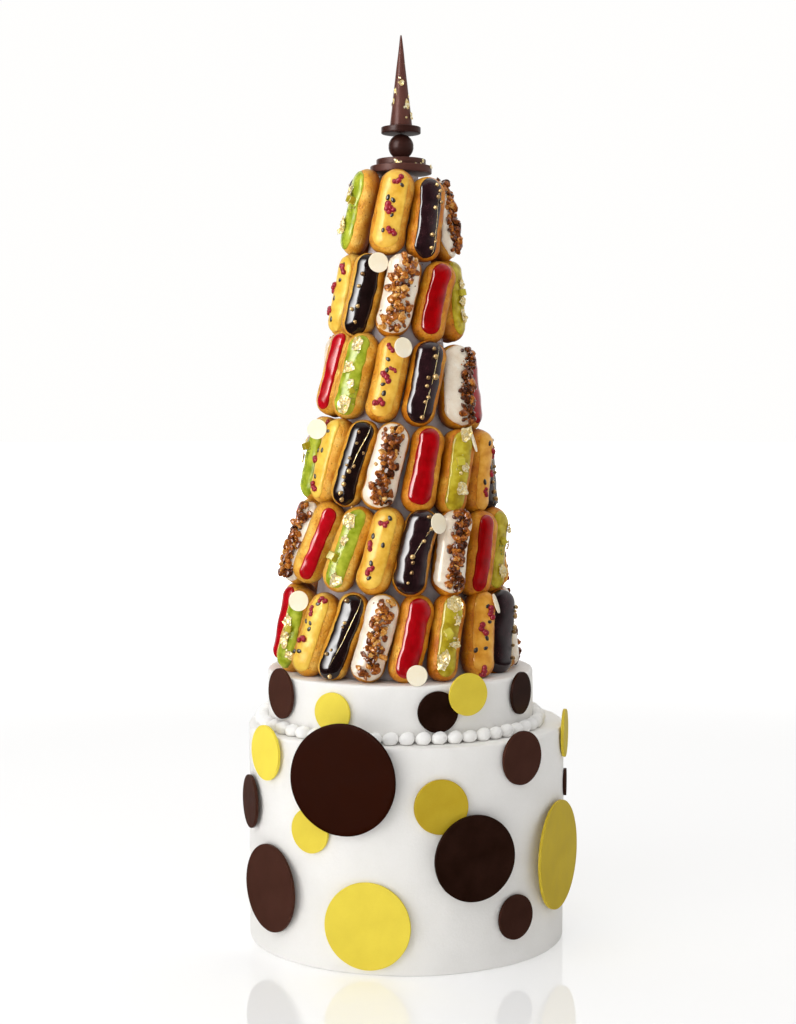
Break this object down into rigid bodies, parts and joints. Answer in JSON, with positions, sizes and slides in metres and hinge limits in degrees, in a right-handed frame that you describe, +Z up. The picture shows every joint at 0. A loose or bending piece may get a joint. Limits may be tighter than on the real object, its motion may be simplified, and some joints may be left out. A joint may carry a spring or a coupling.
{
  "type": "eclair tower",
  "caption": "Tower of small glazed eclairs stacked in leaning rings round a cone, with a chocolate finial, on a two-tier white iced cake with flat round chocolate plaques.",
  "frame": {"origin": "centre of the lower tier's underside, on the surface the tower stands on", "axes": "+Z up along the tower, -Y towards the viewer of the picture (front), +X to that viewer's right"},
  "size_m": [0.3336, 0.342, 0.894],
  "materials": {
    "icing": "smooth matte white royal icing",
    "cone": "matte pale grey-mauve coating",
    "eclair": "baked golden choux under glossy glaze",
    "chocolate": "satin tempered dark chocolate",
    "plaque_dark": "satin dark chocolate sheet",
    "plaque_yellow": "satin yellow coloured chocolate sheet",
    "ivory": "matte ivory chocolate"
  },
  "bodies": {
    "root": {"lower_tier": "icing", "upper_tier": "icing", "bead_border": "icing", "cone": "cone", "eclair_row_1": "eclair", "eclair_row_2": "eclair", "eclair_row_3": "eclair", "eclair_row_4": "eclair", "eclair_row_5": "eclair", "eclair_row_6": "eclair", "finial_disc_low": "chocolate", "finial_disc_mid": "chocolate", "finial_ball": "chocolate", "finial_disc_top": "chocolate", "finial_spire": "chocolate", "ivory_disc_1": "ivory", "ivory_disc_2": "ivory", "ivory_disc_3": "ivory", "ivory_disc_4": "ivory", "ivory_disc_5": "ivory", "ivory_disc_6": "ivory", "ivory_disc_7": "ivory", "ivory_disc_8": "ivory", "ivory_disc_9": "ivory", "ivory_disc_10": "ivory", "ivory_disc_11": "ivory", "ivory_disc_12": "ivory", "plaque_upper_a": "plaque_dark", "plaque_upper_c": "plaque_dark", "plaque_upper_e": "plaque_dark", "plaque_lower_g": "plaque_dark", "plaque_lower_h": "plaque_dark", "plaque_lower_j": "plaque_dark", "plaque_lower_m": "plaque_dark", "plaque_lower_n": "plaque_dark", "plaque_lower_o": "plaque_dark", "plaque_lower_q": "plaque_dark", "plaque_back_b": "plaque_dark", "plaque_back_d": "plaque_dark", "plaque_back_f": "plaque_dark", "plaque_back_i": "plaque_dark", "plaque_back_j": "plaque_dark", "plaque_back_k": "plaque_dark", "plaque_back_n": "plaque_dark", "plaque_upper_b": "plaque_yellow", "plaque_upper_d": "plaque_yellow", "plaque_lower_f": "plaque_yellow", "plaque_lower_i": "plaque_yellow", "plaque_lower_k": "plaque_yellow", "plaque_lower_l": "plaque_yellow", "plaque_lower_p": "plaque_yellow", "plaque_lower_r": "plaque_yellow", "plaque_back_a": "plaque_yellow", "plaque_back_c": "plaque_yellow", "plaque_back_e": "plaque_yellow", "plaque_back_g": "plaque_yellow", "plaque_back_h": "plaque_yellow", "plaque_back_l": "plaque_yellow", "plaque_back_m": "plaque_yellow"}
  },
  "joints": []
}
